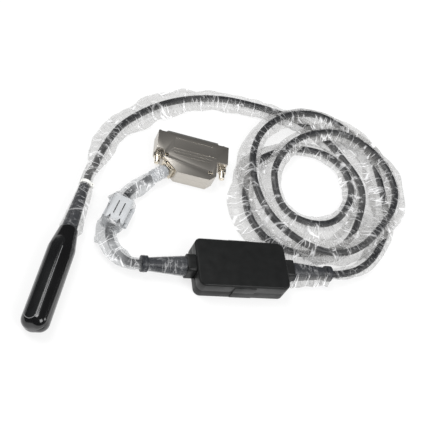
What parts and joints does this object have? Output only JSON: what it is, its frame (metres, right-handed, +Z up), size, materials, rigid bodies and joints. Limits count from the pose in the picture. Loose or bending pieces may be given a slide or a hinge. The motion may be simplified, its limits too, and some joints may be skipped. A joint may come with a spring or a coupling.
{
  "type": "ultrasound probe with adapter box and plug",
  "caption": "Slim linear ultrasound probe on a long coiled cable in clear film, with an in-line adapter box, a clamp-on ferrite and a D-shaped screw-lock plug.",
  "frame": {"origin": "middle of the adapter box's underside, on the surface that everything lies on", "axes": "+X along the box towards the coiled cable, +Y across the box towards the plug, +Z up"},
  "size_m": [0.3916, 0.2751, 0.0227],
  "materials": {
    "probe_plastic": "glossy moulded shell",
    "lens_rubber": "smooth soft silicone lens",
    "epoxy": "cast filled resin",
    "crystal_ceramic": "sawn piezo ceramic",
    "carrier_plastic": "moulded carrier",
    "flex_film": "amber circuit film",
    "board": "circuit board lacquer",
    "wire": "thin coloured insulation",
    "plated_steel": "plated steel",
    "screw_steel": "turned and plated steel",
    "relief_rubber": "satin moulded rubber",
    "cable_jacket": "smooth satin jacket",
    "nylon": "natural nylon",
    "box_plastic": "satin moulded housing",
    "chip_epoxy": "moulded chip package",
    "header_plastic": "moulded header",
    "ferrite_case": "light grey moulded case",
    "ferrite_ceramic": "sintered ferrite",
    "nickel_casting": "nickel plated casting",
    "insulator": "moulded insulator",
    "gold_plating": "gold flashed contacts",
    "clamp_metal": "passivated clamp bar",
    "film": "thin clear film"
  },
  "bodies": {
    "root": {"probe_upper_shell": "probe_plastic", "probe_lower_shell": "probe_plastic", "acoustic_lens": "lens_rubber", "matching_layer": "epoxy", "crystal_array": "crystal_ceramic", "backing_block": "epoxy", "array_carrier": "carrier_plastic", "flex_circuit": "flex_film", "probe_board": "board", "probe_wires": "wire", "probe_ferrule": "plated_steel", "probe_relief": "relief_rubber", "probe_cable_end": "cable_jacket", "neck_tie": "nylon", "box_cover": "box_plastic", "box_base": "box_plastic", "box_screws": "plated_steel", "box_board": "board", "box_chips": "chip_epoxy", "box_can": "plated_steel", "box_headers": "header_plastic", "box_wires": "wire", "box_glands": "box_plastic", "box_boots": "relief_rubber", "box_cable_ends": "cable_jacket", "ferrite_base": "ferrite_case", "ferrite_lower_core": "ferrite_ceramic", "hood_lower": "nickel_casting", "hood_upper": "nickel_casting", "hood_screws": "plated_steel", "connector_face": "plated_steel", "connector_back": "plated_steel", "connector_insulator": "insulator", "connector_pins": "gold_plating", "plug_wires": "wire", "clamp_lower": "clamp_metal", "clamp_upper": "clamp_metal", "clamp_screws": "plated_steel", "plug_cable_end": "cable_jacket", "plug_cuff": "film", "cable_coil": "cable_jacket", "probe_lead": "cable_jacket", "plug_lead": "cable_jacket", "coil_film": "film", "probe_lead_film": "film", "plug_lead_films": "film", "neck_film": "film", "boot_films": "film"},
    "ferrite_lid": {"ferrite_lid": "ferrite_case", "ferrite_upper_core": "ferrite_ceramic"},
    "left_clip": {"left_clip": "plated_steel"},
    "left_jackscrew": {"left_jackscrew": "screw_steel"},
    "right_clip": {"right_clip": "plated_steel"},
    "right_jackscrew": {"right_jackscrew": "screw_steel"}
  },
  "joints": [
    {"name": "ferrite_hinge", "type": "hinge", "parent": "root", "child": "ferrite_lid", "pos_m": [-0.09658, 0.045, 0.0085], "axis": [0.4462, 0.8949, 0], "range_deg": [0, 150]},
    {"name": "left_screw_slide", "type": "slide", "parent": "root", "child": "left_clip", "axis": [-0.1822, -0.9833, 0], "range_m": [0, 0.002]},
    {"name": "left_screw_turn", "type": "hinge", "parent": "left_clip", "child": "left_jackscrew", "pos_m": [-0.05902, 0.14059, 0.0079], "axis": [0.1822, 0.9833, 0], "continuous": true},
    {"name": "right_screw_slide", "type": "slide", "parent": "root", "child": "right_clip", "axis": [-0.1822, -0.9833, 0], "range_m": [0, 0.002]},
    {"name": "right_screw_turn", "type": "hinge", "parent": "right_clip", "child": "right_jackscrew", "pos_m": [0.00342, 0.12901, 0.0079], "axis": [0.1822, 0.9833, 0], "continuous": true}
  ]
}
